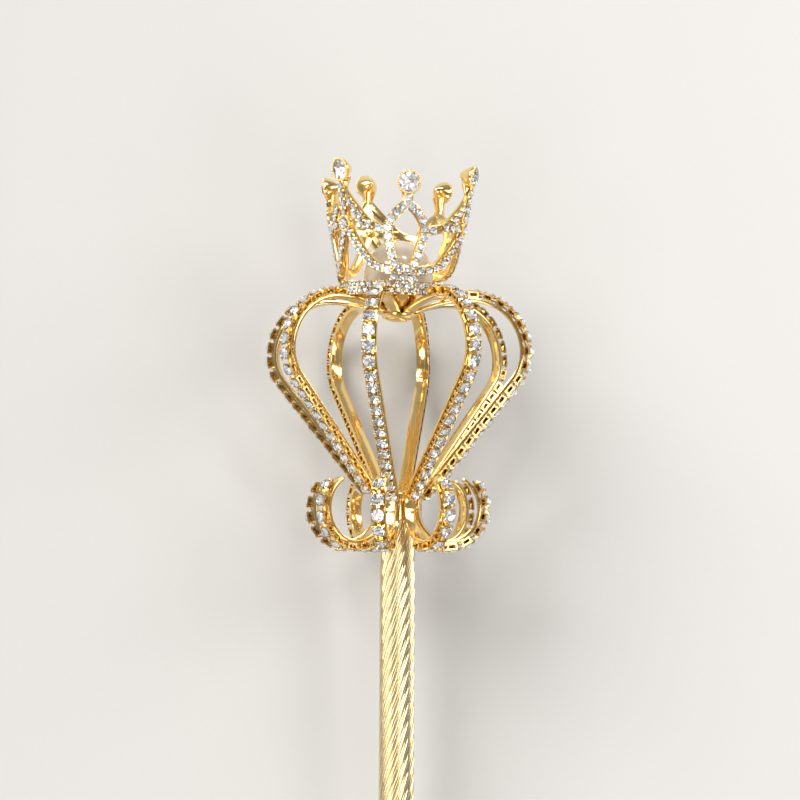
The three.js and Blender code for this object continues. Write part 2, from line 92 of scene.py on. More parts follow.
class SceptreSizes(bpy.types.PropertyGroup):
    """The sizes of the sceptre's pieces."""

    head_turn: degrees("Head turn", 9, "Azimuth that faces straight up")
    strip_width: millimetres("Strip width", 4.4, "Width of strips and scrolls")
    strip_thickness: millimetres("Strip thickness", 1.2, "Thickness of strips and scrolls")
    crest_radius: millimetres("Crest radius", 24.5, "Distance of a strip's top from the axis")
    strip_foot: millimetres("Strip foot", 1.6, "Height of a strip's lower end over the waist")
    joint_gap: millimetres("Joint gap", 0.3, "Room left for solder between two pieces")
    dip_bend: millimetres("Dip bend", 45, "Bend radius from the crest in to the hub")
    dip_angle: degrees("Dip angle", 23.7, "Angle of the bend from the crest in to the hub")
    shoulder_bend: millimetres("Shoulder bend", 18.5, "Bend radius outside the crest")
    belly_bend: millimetres("Belly bend", 13.4, "Bend radius under the widest place")
    taper_angle: degrees("Taper angle", 39, "Angle of the straight run from the axis")
    waist_bend: millimetres("Waist bend", 8, "Bend radius at the socket")
    socket_contact: millimetres("Socket contact", 7.1, "Distance of a strip's foot from the axis")
    scroll_half_depth: millimetres("Scroll half depth", 10.7, "Half a scroll's size off the axis")
    scroll_half_height: millimetres("Scroll half height", 11.2, "Half a scroll's size along the axis")
    scroll_centre: millimetres("Scroll centre", 1, "Height of a scroll's centre over the waist")
    scroll_end: degrees("Scroll end", 62, "Where round its centre a scroll ends")
    scroll_chain_start: degrees("Scroll chain start", -118, "Where round a scroll its stones start")
    cup_pitch: millimetres("Cup pitch", 4.45, "Distance between the stones of a chain")
    cup_width: millimetres("Cup width", 4.6, "Width of one cup of a chain")
    cup_height: millimetres("Cup height", 2.15, "Height of a cup up to its rim")
    cup_gap: millimetres("Cup gap", 0.7, "Room between two cups of a chain")
    cup_wall: millimetres("Cup wall", 0.38, "Thickness of a cup's metal")
    chain_tail: millimetres("Chain tail", 3, "Bare strip after the last cup")
    hub_sink: millimetres("Hub sink", 0.7, "How far the hub is sunk under the strips' ends")
    pearl_diameter: millimetres("Pearl diameter", 24, "Diameter of the pearl")
    pearl_cup_wall: millimetres("Pearl cup wall", 0.8, "Wall of the pearl's cup")
    crown_shift: millimetres("Crown shift", -1.2, "How far the crown stands off the axis")
    crown_lean: degrees("Crown lean", 1.5, "How far the crown leans to the right")
    crown_nod: degrees("Crown nod", 3, "How far the crown leans to the front")
    ring_radius: millimetres("Ring radius", 16.2, "Radius of the crown's foot ring")
    ring_height: millimetres("Ring height", 4.5, "Height of the crown's foot ring")
    crown_thickness: millimetres("Crown thickness", 1.6, "Thickness of the crown's metal")
    arm_width: millimetres("Arm width", 3.3, "Width of the crown's arms")
    crown_flare: millimetres("Crown flare", 9, "How much wider the crown is at its tips")
    crown_rise: millimetres("Crown rise", 40, "Height over which the crown flares")
    flare_power: FloatProperty(
        name="Flare power", description="How early the crown flares", default=0.85
    )
    loop_spread: degrees("Loop spread", 16.5, "Half the width of a loop")
    loop_foot: millimetres("Loop foot", 4, "Height of a loop's foot")
    loop_widest: millimetres("Loop widest", 21, "Height at which a loop is widest")
    loop_neck: millimetres("Loop neck", 30, "Height at which a loop closes")
    gable_neck: millimetres("Gable neck", 34, "Height at which a gable closes")
    gable_fork: millimetres("Gable fork", 23, "Height at which a gable's side forks")
    gable_elbow: millimetres("Gable elbow", 28, "Height of the bend in a gable's side")
    rosette_height: millimetres("Rosette height", 6, "Height of the stone clusters' middle")
    rosette_radius: millimetres("Rosette radius", 4.2, "Radius of the stone clusters")
    middle_stone: millimetres("Middle stone", 23.6, "Height of the crystals between the loops")
    tip_radius: millimetres("Tip radius", 3.9, "Radius of a tip's setting")
    tip_depth: millimetres("Tip depth", 4.2, "Depth of a tip's domed back")
    middle_radius: millimetres("Middle radius", 2.7, "Radius of a middle crystal's setting")
    middle_depth: millimetres("Middle depth", 2.4, "Depth of a middle setting's back")
    pave_pitch: millimetres("Pave pitch", 2.75, "Distance between the crown's small stones")
    pave_stone: millimetres("Pave stone", 2.95, "Diameter of the crown's small stones")
    shaft_diameter: millimetres("Shaft diameter", 12, "Diameter over the reeds")
    shaft_top: millimetres("Shaft top", -2.5, "Height of the tube's upper end")
    shaft_length: millimetres("Shaft length", 314.5, "Length of the reeded tube")
    reed_count: IntProperty(name="Reeds", description="Reeds round the shaft", default=16)
    reed_depth: millimetres("Reed depth", 0.5, "Depth of the grooves between the reeds")
    reed_lead: millimetres("Reed lead", 90, "Length of one turn of the twist")


class SceptreColours(bpy.types.PropertyGroup):
    """The colours of the sceptre's finishes."""

    gold: colour("Gold", "#FFE19E", "Yellow gold plating of the head")
    gold_deep: colour("Deep gold", "#F5D287", "Redder patches of the plating")
    pale_gold_deep: colour("Deep pale gold", "#EAD39B", "Yellower patches of the shaft's plating")
    pale_gold: colour("Pale gold", "#F2E4BF", "Paler plating of the shaft")
    foil: colour("Foil", "#FFFFFF", "Silvering behind the stones")
    crystal: colour("Crystal", "#FFFFFF", "Clear glass of the stones")
    pearl: colour("Pearl", "#CDC0AE", "Body colour of the pearl")
    pearl_blush: colour("Pearl blush", "#BFAF9A", "Warmer clouds in the pearl")
    floor: colour("Floor", "#C4C2BE", "Paper that the sceptre lies on")


def sizes():
    return bpy.context.scene.sceptre_sizes


def colours():
    return bpy.context.scene.sceptre_colours


# Materials


def add_node(tree, kind, settings=None, links=None):
    """Adds a node, sets its inputs or fields by name, and links inputs to other nodes' outputs."""
    made = tree.nodes.new(kind)
    for name, value in (settings or {}).items():
        if name in made.inputs:
            made.inputs[name].default_value = value
        else:
            setattr(made, name, value)
    for name, (source, output) in (links or {}).items():
        tree.links.new(source.outputs[output], made.inputs[name])
    return made


def new_material(name, shader_settings):
    """A material with one Principled shader, and its node tree and shader."""
    material = bpy.data.materials.new(name)
    material.use_nodes = True
    tree = material.node_tree
    tree.nodes.clear()
    shader = add_node(tree, "ShaderNodeBsdfPrincipled", shader_settings)
    add_node(tree, "ShaderNodeOutputMaterial", links={"Surface": (shader, "BSDF")})
    return material, tree, shader


def rgba(value):
    return (*value, 1)


def mottled(tree, shader, size, look, first, second):
    """Blends two base colours by a noise of a real size."""
    place = add_node(tree, "ShaderNodeTexCoord")
    settings = {"Scale": 1 / size, **look}
    noise = add_node(tree, "ShaderNodeTexNoise", settings, {"Vector": (place, "Object")})
    blend = add_node(tree, "ShaderNodeMix", {"data_type": "RGBA"}, {"Factor": (noise, "Fac")})
    blend.inputs[6].default_value = rgba(first)
    blend.inputs[7].default_value = rgba(second)
    tree.links.new(blend.outputs[2], shader.inputs["Base Color"])


def uneven(tree, shader, size, look, depth, strength=1.0):
    """Raises a surface by a noise of a real size, to a real depth."""
    place = add_node(tree, "ShaderNodeTexCoord")
    settings = {"Scale": 1 / size, **look}
    noise = add_node(tree, "ShaderNodeTexNoise", settings, {"Vector": (place, "Object")})
    settings = {"Strength": strength, "Distance": depth}
    bump = add_node(tree, "ShaderNodeBump", settings, {"Height": (noise, "Fac")})
    tree.links.new(bump.outputs[0], shader.inputs["Normal"])


def plated_gold(name, main, patch, smoothest, roughest, depth):
    """Polished gold plating over a casting: soft unevenness, fine polishing marks, redder patches."""
    cloud_size = 6 * MM
    ripple_size = 1.6 * MM
    mark_size = 0.35 * MM
    material, tree, shader = new_material(name, {"Metallic": 1})
    mottled(tree, shader, cloud_size, {"Detail": 3, "Roughness": 0.6}, main, patch)
    uneven(tree, shader, ripple_size, {"Detail": 1.5, "Roughness": 0.5}, depth)
    place = add_node(tree, "ShaderNodeTexCoord")
    look = {"Scale": 1 / mark_size, "Detail": 2, "Roughness": 0.7}
    marks = add_node(tree, "ShaderNodeTexNoise", look, {"Vector": (place, "Object")})
    spread = {"From Min": 0.3, "From Max": 0.7, "To Min": smoothest, "To Max": roughest}
    gloss = add_node(tree, "ShaderNodeMapRange", spread, {"Value": (marks, "Fac")})
    tree.links.new(gloss.outputs[0], shader.inputs["Roughness"])
    return material


def yellow_gold():
    # Bright dipped gold on the head: mirror-like, a little uneven as thin castings are.
    return plated_gold("plated yellow gold", colours().gold, colours().gold_deep, 0.09, 0.2, 0.03 * MM)


def pale_gold():
    # Thinner, paler plating on the drawn tube, with longer soft highlights.
    main, patch = colours().pale_gold, colours().pale_gold_deep
    return plated_gold("plated pale gold", main, patch, 0.14, 0.26, 0.02 * MM)


def clear_crystal():
    # Machine-cut lead glass: colourless, sharp highlights, a high index that makes it flash.
    settings = {
        "Base Color": rgba(colours().crystal),
        "Roughness": 0.0,
        "IOR": 1.57,
        "Transmission Weight": 1.0,
    }
    return new_material("cut lead crystal", settings)[0]


def silver_foil():
    # Silvering behind the stones: throws light back through the glass, in places a little greyer.
    foil_grain = 0.5 * MM
    material, tree, shader = new_material("silvered foil", {"Metallic": 1, "Roughness": 0.16})
    greyer = [c * 0.84 for c in colours().foil]
    mottled(tree, shader, foil_grain, {"Detail": 1}, colours().foil, greyer)
    return material


def pearl_lustre():
    # Pearl essence lacquer: a milky body with soft warm clouds under a thin glossy coat.
    cloud_size = 9 * MM
    skin_size = 0.8 * MM
    skin_depth = 0.008 * MM
    settings = {
        "Roughness": 0.24,
        "Subsurface Weight": 0.1,
        "Subsurface Scale": 1.5 * MM,
        "Coat Weight": 0.9,
        "Coat Roughness": 0.05,
        "Coat IOR": 1.9,
    }
    material, tree, shader = new_material("pearl lacquer", settings)
    look = {"Detail": 2, "Roughness": 0.5}
    mottled(tree, shader, cloud_size, look, colours().pearl, colours().pearl_blush)
    uneven(tree, shader, skin_size, {"Detail": 1}, skin_depth)
    return material


def floor_paper():
    # Seamless backdrop paper: matt, with a fine tooth and hardly any change of tone.
    tooth = 1.2 * MM
    tooth_depth = 0.05 * MM
    material, tree, shader = new_material("backdrop paper", {"Roughness": 0.85})
    darker = [c * 0.96 for c in colours().floor]
    mottled(tree, shader, tooth, {"Detail": 4}, colours().floor, darker)
    uneven(tree, shader, tooth, {"Detail": 4}, tooth_depth, 0.4)
    return material


MATERIALS = {
    "gold": yellow_gold,
    "pale gold": pale_gold,
    "crystal": clear_crystal,
    "foil": silver_foil,
    "pearl": pearl_lustre,
    "paper": floor_paper,
}
made_materials = {}


def material(name):
    if name not in made_materials:
        made_materials[name] = MATERIALS[name]()
    return made_materials[name]


# Places


def outwards(azimuth):
    """The unit vector from the axis towards an azimuth in degrees."""
    turn = math.radians(azimuth)
    return Vector((math.sin(turn), -math.cos(turn), 0))


def belly_height():
    """Height of a strip's widest place: its foot, its bends and its straight run added up."""
    s = sizes()
    waist_end = s.socket_contact + s.waist_bend * (1 - math.cos(s.taper_angle))
    belly = s.crest_radius + s.shoulder_bend - s.belly_bend
    run = belly + s.belly_bend * math.cos(s.taper_angle) - waist_end
    bends = (s.waist_bend + s.belly_bend) * math.sin(s.taper_angle)
    return s.strip_foot + bends + run / math.tan(s.taper_angle)


def crest_height():
    return belly_height() + sizes().shoulder_bend


def hub_top():
    s = sizes()
    return crest_height() - s.dip_bend * (1 - math.cos(s.dip_angle)) - s.hub_sink


def pearl_height():
    s = sizes()
    return hub_top() + s.joint_gap * 2 + s.pearl_cup_wall + s.pearl_diameter / 2


def axes(across, upward, away, spot):
    """The matrix with these three axes that stands at a spot."""
    matrix = Matrix((across, upward, away)).transposed().to_4x4()
    matrix.translation = spot
    return matrix


def raised(height):
    return Matrix.Translation((0, 0, height))


def spun(angle):
    return Matrix.Rotation(angle, 4, "Z")


def lying_matrix():
    """From the upright bench axes to the sceptre as it lies in the frame."""
    pearl = sum(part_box("pearl"), Vector()) / 2
    shaft = sum(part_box("shaft"), Vector()) / 2
    along = (pearl - shaft).normalized()
    right = Vector((1, 0, 0))
    front = right.cross(along)
    return axes(right, -front, along, pearl - along * pearl_height()) @ spun(-sizes().head_turn)


def crown_matrix():
    """From the crown's own axes, with its foot at Z = 0, to the upright bench axes."""
    s = sizes()
    ring_edge = s.ring_radius + s.crown_thickness / 2
    inward = s.crest_radius - ring_edge - abs(s.crown_shift)
    fall = s.dip_bend - math.sqrt(s.dip_bend**2 - inward**2)
    lift = ring_edge * math.sin(math.hypot(s.crown_lean, s.crown_nod))
    foot = crest_height() - fall + s.strip_thickness / 2 + s.joint_gap + lift
    turn = Matrix.Rotation(s.crown_nod, 4, "X") @ Matrix.Rotation(s.crown_lean, 4, "Y")
    return Matrix.Translation((s.crown_shift, 0, foot)) @ turn


def turned_to(azimuth):
    """Turns a piece modelled towards +X to an azimuth."""
    return spun(math.radians(azimuth - 90))


# Modelling by hand


def deselect():
    if bpy.context.object and bpy.context.object.mode != "OBJECT":
        bpy.ops.object.mode_set(mode="OBJECT")
    bpy.ops.object.select_all(action="DESELECT")


def editing(piece, mode="VERT"):
    deselect()
    piece.select_set(True)
    bpy.context.view_layer.objects.active = piece
    bpy.ops.object.mode_set(mode="EDIT")
    bpy.ops.mesh.select_mode(type=mode)


def object_mode():
    bpy.ops.object.mode_set(mode="OBJECT")
    return bpy.context.object


def closed_up():
    """Turns all faces of the mesh being edited outwards, and returns its piece in object mode."""
    bpy.ops.mesh.select_all(action="SELECT")
    bpy.ops.mesh.normals_make_consistent(inside=False)
    return object_mode()


def select_faces(piece, wanted):
    """Opens a piece for editing with the faces selected that a test picks, and nothing else."""
    editing(piece, "FACE")
    bpy.ops.mesh.select_all(action="DESELECT")
    object_mode()
    for face in piece.data.polygons:
        face.select = wanted(face)
    editing(piece, "FACE")


def settle(piece):
    """Moves a piece's place into its mesh, so its object sits at the origin."""
    piece.data.transform(piece.matrix_world)
    piece.matrix_world = Matrix.Identity(4)
    return piece


def block(size, middle):
    """A box of that size about a middle."""
    deselect()
    bpy.ops.mesh.primitive_cube_add(size=1)
    piece = bpy.context.object
    piece.data.transform(Matrix.Translation(middle) @ Matrix.Diagonal((*size, 1)))
    return piece


def apply_modifier(piece, kind, **settings):
    bpy.context.view_layer.objects.active = piece
    modifier = piece.modifiers.new(kind.lower(), kind)
    for name, value in settings.items():
        setattr(modifier, name, value)
    bpy.ops.object.modifier_apply(modifier=modifier.name)


def copy_of(piece, matrix):
    copy = piece.copy()
    copy.data = piece.data.copy()
    copy.data.transform(matrix)
    bpy.context.scene.collection.objects.link(copy)
    return copy


def discard(piece):
    bpy.data.objects.remove(piece, do_unlink=True)


def joined(pieces, name):
    """Joins several pieces, and their material slots, into one of that name."""
    deselect()
    for piece in pieces:
        piece.select_set(True)
    bpy.context.view_layer.objects.active = pieces[0]
    if len(pieces) > 1:
        bpy.ops.object.join()
    pieces[0].name = name
    pieces[0].data.name = name
    return pieces[0]


def smooth(piece, angle):
    deselect()
    piece.select_set(True)
    bpy.context.view_layer.objects.active = piece
    bpy.ops.object.shade_smooth_by_angle(angle=math.radians(angle))


def dressed(piece, finish, angle=None):
    """Gives a piece its material and, with an angle in degrees, smooth shading up to that angle."""
    piece.data.materials.append(material(finish))
    if angle:
        smooth(piece, angle)
    return piece


def finish_piece(piece, name, replaced, matrix=None):
    """Lays a finished piece down into the frame, names it, hangs it from the root, and hides the frame's
    parts that it replaces.
    """
    piece.name = name
    piece.data.name = name
    piece.data.transform(lying_matrix() @ (matrix or Matrix.Identity(4)))
    piece.matrix_world = Matrix.Identity(4)
    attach(piece, "root")
    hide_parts(*replaced)


def turned(name, profile, steps):
    """A turned piece: a profile of (radius, height) spun once round Z and closed."""
    deselect()
    bpy.ops.mesh.primitive_plane_add(size=1 * MM)
    editing(bpy.context.object)
    bpy.ops.mesh.merge(type="CENTER")
    bpy.ops.transform.translate(value=(profile[0][0], 0, profile[0][1]))
    for before, after in zip(profile, profile[1:]):
        step = (after[0] - before[0], 0, after[1] - before[1])
        bpy.ops.mesh.extrude_region_move(TRANSFORM_OT_translate={"value": step})
    bpy.ops.mesh.select_all(action="SELECT")
    bpy.ops.mesh.spin(steps=steps, angle=math.tau, center=(0, 0, 0), axis=(0, 0, 1))
    bpy.ops.mesh.select_all(action="SELECT")
    bpy.ops.mesh.remove_doubles(threshold=0.002 * MM)
    piece = closed_up()
    piece.name = name
    return settle(piece)


def turned_gold(name, profile, steps, replaced):
    """A turned and gilded piece, laid down into the frame."""
    finish_piece(dressed(turned(name, profile, steps), "gold", 40), name, [replaced])


def arc(centre, radius, start, end, steps):
    """Points (radius, height) of an arc between two angles in degrees."""
    points = []
    for i in range(steps + 1):
        angle = math.radians(start + (end - start) * i / steps)
        points.append((centre[0] + radius * math.cos(angle), centre[1] + radius * math.sin(angle)))
    return points


# Middle lines, in the plane of (distance from the axis, height)


class Bend:
    """An arc of an ellipse from one angle to another, in radians."""

    def __init__(self, centre, across, along, start, end):
        self.centre, self.across, self.along = Vector(centre), across, along
        self.start, self.end = start, end

    def point(self, part):
        angle = self.start + (self.end - self.start) * part
        return self.centre + Vector((self.across * math.cos(angle), self.along * math.sin(angle)))


class Run:
    """A straight stretch."""

    def __init__(self, start, end):
        self.first, self.last = Vector(start), Vector(end)

    def point(self, part):
        return self.first.lerp(self.last, part)


def measured(points):
    """How far along a row of points each of them lies."""
    lengths = [0.0]
    for before, after in zip(points, points[1:]):
        lengths.append(lengths[-1] + (after - before).length)
    return lengths


def stretch_at(lengths, distance):
    """Which stretch of a measured row a distance falls in, and what part of it lies before."""
    i = next(k for k in range(1, len(lengths)) if lengths[k] >= distance - 1e-12)
    return i, (distance - lengths[i - 1]) / (lengths[i] - lengths[i - 1])


class Line:
    """A middle line made of bends and runs, which can be walked by length."""

    def __init__(self, stretches, steps=60):
        self.points = []
        for stretch in stretches:
            first = 1 if self.points else 0
            self.points += [stretch.point(i / steps) for i in range(first, steps + 1)]
        self.lengths = measured(self.points)
        self.length = self.lengths[-1]

    def place(self, distance):
        """The point at a distance along the line, and the line's direction there."""
        i, part = stretch_at(self.lengths, min(max(distance, 0), self.length))
        before, after = self.points[i - 1], self.points[i]
        return before.lerp(after, part), (after - before).normalized()


def strip_stretches():
    """A lantern strip: up from the hub to its crest, round its shoulder and down to the waist."""
    s = sizes()
    crest, belly = crest_height(), belly_height()
    quarter = math.pi / 2
    stretches = []
    for centre, bend, start, end in (
        ((s.crest_radius, crest - s.dip_bend), s.dip_bend, quarter + s.dip_angle, quarter),
        ((s.crest_radius, belly), s.shoulder_bend, quarter, 0),
        ((s.crest_radius + s.shoulder_bend - s.belly_bend, belly), s.belly_bend, 0, -s.taper_angle),
        ((s.socket_contact + s.waist_bend, s.strip_foot), s.waist_bend, math.pi - s.taper_angle, math.pi),
    ):
        stretches.append(Bend(centre, bend, bend, start, end))
    stretches.insert(3, Run(stretches[2].point(1), stretches[3].point(0)))
    foot = Vector((s.socket_contact, s.strip_foot))
    stretches.append(Run(foot, (s.socket_contact, s.scroll_centre)))
    return stretches


def scroll_stretches(start):
    s = sizes()
    centre = (s.socket_contact + s.scroll_half_depth, s.scroll_centre)
    return [Bend(centre, s.scroll_half_depth, s.scroll_half_height, start, s.scroll_end)]


def bent_strip(name, stretches, step_length):
    """A flat strip pulled along its middle line, its end face extruded and turned step by step."""
    s = sizes()
    line = Line(stretches)
    steps = round(line.length / step_length)
    point, heading = line.place(0)
    angle = math.atan2(heading.y, heading.x)
    deselect()
    bpy.ops.mesh.primitive_plane_add(size=1)
    piece = bpy.context.object
    upright = Matrix.Translation((point.x, 0, point.y)) @ Matrix.Rotation(math.pi / 2 - angle, 4, "Y")
    piece.matrix_world = upright @ Matrix.Diagonal((s.strip_thickness, s.strip_width, 1, 1))
    settle(piece)
    editing(piece)
    bpy.ops.mesh.select_all(action="SELECT")
    for i in range(1, steps + 1):
        after, heading = line.place(line.length * i / steps)
        turn = math.atan2(heading.y, heading.x)
        step = (after.x - point.x, 0, after.y - point.y)
        bpy.ops.mesh.extrude_region_move(TRANSFORM_OT_translate={"value": step})
        pivot = (after.x, 0, after.y)
        bpy.ops.transform.rotate(value=turn - angle, orient_axis="Y", center_override=pivot)
        point, angle = after, turn
    piece = closed_up()
    piece.name = name
    apply_modifier(piece, "BEVEL", width=0.22 * MM, segments=2, limit_method="ANGLE")
    return dressed(piece, "gold", 35)


def placed(line, distance, height):
    """Where something stands that faces away from a line in the X-Z plane, heading along it."""
    point, heading = line.place(distance)
    along = Vector((heading.x, 0, heading.y))
    away = Vector((-heading.y, 0, heading.x))
    return axes(along, away.cross(along), away, Vector((point.x, 0, point.y)) + away * height)


def flipped():
    """Turns something over, so that it faces the other side of its line."""
    return Matrix.Rotation(math.pi, 4, "X")


# Stones


def cut_stone(name, radius, rings, back):
    """A faceted stone: the hull of rings (share of radius, height, corners, turn), its back foiled.

    The first ring, the table, isn't turned.
    """
    deselect()
    bpy.ops.mesh.primitive_circle_add(vertices=rings[0][2], radius=rings[0][0] * radius)
    bpy.context.object.data.transform(raised(rings[0][1]))
    bpy.ops.object.mode_set(mode="EDIT")
    for ring_share, height, corners, turn in rings[1:]:
        settings = {"vertices": corners, "radius": ring_share * radius, "location": (0, 0, height)}
        bpy.ops.mesh.primitive_circle_add(**settings, rotation=(0, 0, math.radians(turn)))
    bpy.ops.mesh.select_all(action="SELECT")
    bpy.ops.mesh.convex_hull()
    bpy.ops.mesh.select_all(action="SELECT")
    bpy.ops.mesh.dissolve_limited(angle_limit=math.radians(1))
    piece = dressed(closed_up(), "crystal")
    dressed(piece, "foil")
    for face in piece.data.polygons:
        face.material_index = 1 if face.center.z < back else 0
    piece.name = name
    return piece


def chain_stone():
    """A small round stone of a cup chain, its girdle at Z = 0."""
    rings = [(0.62, 0.8 * MM, 8, 0), (1.0, 0.0, 8, 0), (0.12, -0.5 * MM, 8, 0)]
    return cut_stone("chain_stone", 2.25 * MM, rings, -0.05 * MM)


def brilliant(radius, cut):
    """A round brilliant, its girdle at Z = 0; cut says how much of a full back it has."""
    rings = [
        (0.55, 0.36 * radius, 8, 0),
        (0.8, 0.22 * radius, 8, 0),
        (1.0, 0.02 * radius, 16, 11.25),
        (1.0, -0.03 * radius, 16, 11.25),
        (0.55, -0.46 * radius * cut, 8, 22.5),
        (0.08, -0.75 * radius * cut, 8, 0),
    ]
    return cut_stone("brilliant", radius, rings, -0.04 * radius)


def cup_frame():
    """The square cup itself: open at the top, with a window in each side that faces out."""
    s = sizes()
    rim = s.cup_height
    side_room = 0.1 * MM
    foot_share = 0.84
    window_edge = 0.5 * MM
    cup = block((s.cup_pitch - s.cup_gap, s.cup_width - side_room, rim), (0, 0, rim / 2))
    select_faces(cup, lambda face: face.normal.z < -0.9)
    bpy.ops.transform.resize(value=(foot_share, foot_share, 1))
    select_faces(cup, lambda face: face.normal.z > 0.9)
    bpy.ops.mesh.delete(type="FACE")
    select_faces(cup, lambda face: abs(face.normal.y) > 0.9)
    bpy.ops.mesh.inset(thickness=window_edge, use_individual=True)
    bpy.ops.mesh.delete(type="FACE")
    object_mode()
    apply_modifier(cup, "SOLIDIFY", thickness=s.cup_wall, offset=-1)
    return cup


def hollow_cone(corners, foot, top, height):
    """A cone without end faces, its middle at Z = 0, with the radii of its foot and its top."""
    deselect()
    bpy.ops.mesh.primitive_cone_add(
        vertices=corners, radius1=foot, radius2=top, depth=height, end_fill_type="NOTHING"
    )
    return bpy.context.object


def chain_cup():
    """One cup of the chain: its frame, the stone's gilt back, four prongs and a link."""
    s = sizes()
    rim = s.cup_height
    back_foot, back_top = 0.4 * MM, 1.65 * MM
    prong_radius, prong_height = 0.55 * MM, 1.5 * MM
    link_size, link_height = (1.8 * MM, 1.1 * MM, 0.5 * MM), 0.6 * MM
    back = hollow_cone(6, back_foot, back_top, rim - s.cup_wall * 2)
    back.data.transform(raised(rim / 2))
    parts = [back, cup_frame()]
    lean = Matrix.Rotation(math.radians(-30), 4, "Y")
    corner = Matrix.Translation((s.cup_width * 0.58, 0, rim - prong_radius))
    for turn in (45, 135, 225, 315):
        prong = hollow_cone(4, prong_radius, 0, prong_height)
        prong.data.transform(spun(math.radians(turn)) @ corner @ lean @ raised(prong_height / 2))
        parts.append(prong)
    parts.append(block(link_size, (s.cup_pitch / 2, 0, link_height)))
    return joined([dressed(part, "gold") for part in parts], "chain_cup")


def chain_on(name, line, distances, side, cup, stone):
    """A chain of set stones along a line: side is +1 for the line's left and -1 for its right."""
    half = sizes().strip_thickness / 2
    over_rim = 0.1 * MM
    seat = raised(sizes().cup_height + over_rim)
    lean = Matrix.Rotation(math.radians(2.5), 4, "X")
    turn_apart = math.radians(137.5)
    copies = []
    for n, distance in enumerate(distances):
        if side > 0:
            matrix = placed(line, distance, half)
        else:
            matrix = placed(line, distance, -half) @ flipped()
        copies.append(copy_of(cup, matrix))
        copies.append(copy_of(stone, matrix @ seat @ spun(turn_apart * n) @ lean))
    return joined(copies, name)


def chain_start(line, azimuth):
    """How far along its strip a chain starts: just outside the crown's foot ring."""
    s = sizes()
    link_half = 1.6 * MM
    edge = s.ring_radius + s.crown_thickness * 1.5 + link_half + s.joint_gap
    clear = edge + s.crown_shift * outwards(azimuth).x
    distance = 0
    while line.place(distance)[0].x < clear:
        distance += s.cup_pitch / 10
    return distance


# Crown


def crown_radius(height):
    s = sizes()
    return s.ring_radius + s.crown_flare * (max(height, 0) / s.crown_rise) ** s.flare_power


def on_crown(azimuth, height):
    return outwards(azimuth) * crown_radius(height) + Vector((0, 0, height))


def crown_normal(azimuth, height):
    step = 0.5 * MM
    slope = (crown_radius(height + step) - crown_radius(height - step)) / (2 * step)
    return (outwards(azimuth) - Vector((0, 0, slope))).normalized()


def crown_place(azimuth, height, turn=0.0):
    """Where something that faces +Z stands to face out of the crown."""
    away = crown_normal(azimuth, height)
    across = Vector((0, 0, 1)).cross(away).normalized()
    return axes(across, away.cross(across), away, on_crown(azimuth, height)) @ spun(turn)


def curve_through(places, steps):
    """A smooth row of places (azimuth, height) through a few chosen ones."""
    points = [Vector(place) for place in places]
    points = [points[0] * 2 - points[1], *points, points[-1] * 2 - points[-2]]
    row = []
    for i in range(1, len(points) - 2):
        a, b, c, d = points[i - 1 : i + 3]
        for step in range(steps):
            t = step / steps
            bend = (2 * a - 5 * b + 4 * c - d) * t * t + (3 * b - a - 3 * c + d) * t**3
            row.append((2 * b + (c - a) * t + bend) / 2)
    row.append(points[-2])
    return [tuple(point) for point in row]


def neighbours(azimuth, others):
    """The nearest of the other azimuths on the left and on the right."""
    gaps = [(other - azimuth + 180) % 360 - 180 for other in others]
    left = max(gap for gap in gaps if gap < 0)
    right = min(gap for gap in gaps if gap > 0)
    return [(-1, azimuth + left), (1, azimuth + right)]


def crown_arms():
    """The crown's arms as rows of places, each smoothed through a few chosen ones."""
    s = sizes()
    spread = math.degrees(s.loop_spread)
    overlap = 1 * MM
    loops, sides, stems = [], [], []
    for tip, tip_height in zip(LOOP_TIPS, LOOP_TIP_HEIGHTS):
        for side, gable in neighbours(tip, GABLE_TIPS):
            edge = tip + side * spread
            inner = tip + side * spread * 0.62
            lower = s.loop_foot + (s.loop_widest - s.loop_foot) * 0.4
            upper = s.loop_widest + (s.loop_neck - s.loop_widest) * 0.6
            loop = [(tip, s.loop_foot), (inner, lower), (edge, s.loop_widest), (inner, upper)]
            loops.append([*loop, (tip, s.loop_neck)])
            fork = (edge + (gable - edge) * 0.4, s.gable_fork)
            elbow = (edge + (gable - edge) * 0.7, s.gable_elbow)
            sides.append([(edge, s.loop_widest), fork, elbow, (gable, s.gable_neck)])
            bends = [(gable + (tip - gable) * a, s.middle_stone * b) for a, b in ((0.2, 0.68), (0.5, 0.4))]
            sides.append([(gable, s.middle_stone), *bends, (tip, s.loop_foot + s.arm_width)])
            stems.append([fork, (gable, s.middle_stone)])
        stems.append([(tip, s.loop_neck - overlap), (tip, tip_height - s.tip_radius)])
    for gable, tip_height in zip(GABLE_TIPS, GABLE_TIP_HEIGHTS):
        stems.append([(gable, s.middle_stone), (gable, tip_height - s.tip_radius)])
    return [curve_through(arm, 8) for arm in loops + stems + sides]


def crown_bar(row, width, thickness):
    """A flat bar along a row of places, bent to the crown's surface, with rounded edges."""
    deselect()
    bpy.ops.mesh.primitive_grid_add(x_subdivisions=len(row) - 1, y_subdivisions=2, size=1)
    piece = bpy.context.object
    mesh = piece.data
    points = [on_crown(*place) for place in row]
    for vertex in mesh.vertices:
        i = round((vertex.co.x + 0.5) * (len(row) - 1))
        ahead = points[min(i + 1, len(row) - 1)] - points[max(i - 1, 0)]
        across = crown_normal(*row[i]).cross(ahead).normalized()
        vertex.co = points[i] + across * vertex.co.y * width
    apply_modifier(piece, "SOLIDIFY", thickness=thickness, offset=0)
    edges = {"limit_method": "ANGLE", "angle_limit": math.radians(50)}
    apply_modifier(piece, "BEVEL", width=0.3 * MM, segments=2, **edges)
    return piece


